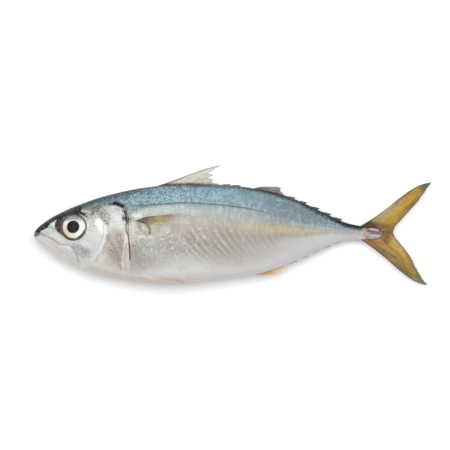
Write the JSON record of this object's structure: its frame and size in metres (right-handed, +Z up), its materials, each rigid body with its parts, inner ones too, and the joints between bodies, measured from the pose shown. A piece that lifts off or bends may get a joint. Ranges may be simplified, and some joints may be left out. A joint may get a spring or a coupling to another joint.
{
  "type": "whole raw fish",
  "caption": "Whole raw short-bodied mackerel lying on its right flank: blue back, silver belly, gill covers, finlets, forked yellow tail and separate eyeballs.",
  "frame": {"origin": "on the surface that the fish lies on, under the middle of its outline", "axes": "+X from the snout to the tail, +Y from the belly to the back, +Z up, out of the left flank"},
  "size_m": [0.2152, 0.0644, 0.0263],
  "materials": {
    "skin": "wet silvery fish skin, blue on the back and white on the belly",
    "fin": "thin wet fin, yellow with brown rays",
    "eye": "cream iris with a black pupil under a clear wet cornea"
  },
  "bodies": {
    "root": {"fish": "skin", "eye_left": "eye", "eye_right": "eye"}
  },
  "joints": []
}
